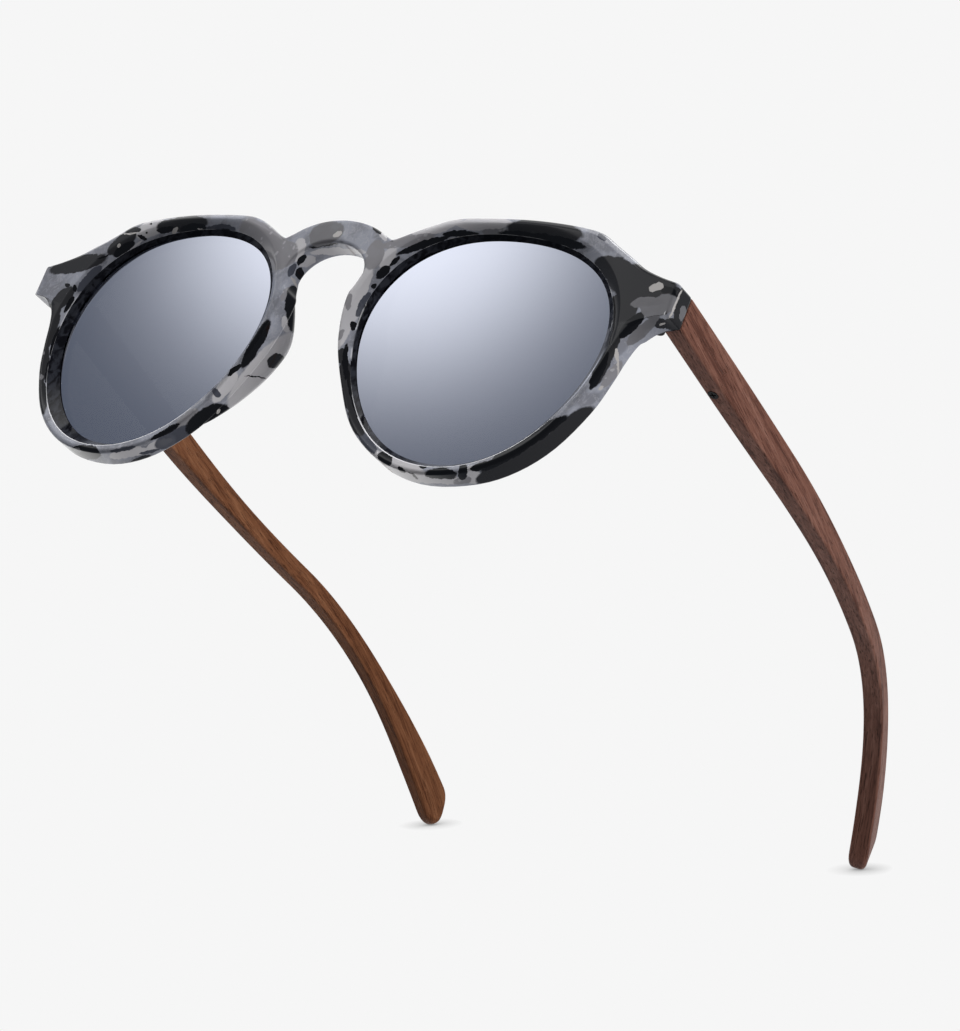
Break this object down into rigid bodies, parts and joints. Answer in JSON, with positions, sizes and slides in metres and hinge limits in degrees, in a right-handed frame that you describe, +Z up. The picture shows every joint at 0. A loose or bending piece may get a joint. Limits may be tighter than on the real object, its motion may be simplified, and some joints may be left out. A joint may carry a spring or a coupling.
{
  "type": "sunglasses",
  "caption": "Sunglasses with a marbled keyhole-bridge front, round mirrored lenses and wooden arms that fold on sunk spring hinges.",
  "frame": {"origin": "middle of the footprint, on the level that the rims and the arm tips rest on", "axes": "+Z up, the front faces -Y, the arms run back along +Y, +X to the wearer's left"},
  "size_m": [0.1494, 0.1514, 0.0515],
  "materials": {
    "front": "polished marbled grey and black",
    "nose_pad": "polished marbled grey and black",
    "lens": "silver mirror coat",
    "wood": "satin walnut",
    "hinge_black": "black plated",
    "screw_black": "black oxide",
    "screw_steel": "plain steel",
    "spring_steel": "spring wire"
  },
  "bodies": {
    "front": {"front_frame": "front", "lens_left": "lens", "lens_right": "lens", "nose_pad_left": "nose_pad", "nose_pad_right": "nose_pad", "hinge_plate_left": "hinge_black", "hinge_plate_right": "hinge_black", "hinge_screw_left": "screw_steel", "hinge_screw_right": "screw_steel"},
    "hinge_core_left": {"hinge_core_left": "hinge_black", "core_nut_left": "screw_steel"},
    "arm_left": {"temple_left": "wood", "hinge_housing_left": "hinge_black", "tongue_screw_left": "screw_black", "hinge_spring_left": "spring_steel"},
    "hinge_core_right": {"hinge_core_right": "hinge_black", "core_nut_right": "screw_steel"},
    "arm_right": {"temple_right": "wood", "hinge_housing_right": "hinge_black", "tongue_screw_right": "screw_black", "hinge_spring_right": "spring_steel"}
  },
  "joints": [
    {"name": "fold_left", "type": "hinge", "parent": "front", "child": "hinge_core_left", "pos_m": [0.0679, -0.06351, 0.03791], "axis": [0, 0.108, 0.9942], "range_deg": [0, 83]},
    {"name": "spring_left", "type": "slide", "parent": "hinge_core_left", "child": "arm_left", "axis": [0, 0.9942, -0.108], "range_m": [0, 0.0012], "stiffness_N_per_m": 400, "deforming": ["hinge_spring_left"]},
    {"name": "fold_right", "type": "hinge", "parent": "front", "child": "hinge_core_right", "pos_m": [-0.0679, -0.06351, 0.03791], "axis": [0, -0.108, -0.9942], "range_deg": [0, 70]},
    {"name": "spring_right", "type": "slide", "parent": "hinge_core_right", "child": "arm_right", "axis": [0, 0.9942, -0.108], "range_m": [0, 0.0012], "stiffness_N_per_m": 400, "deforming": ["hinge_spring_right"]}
  ]
}
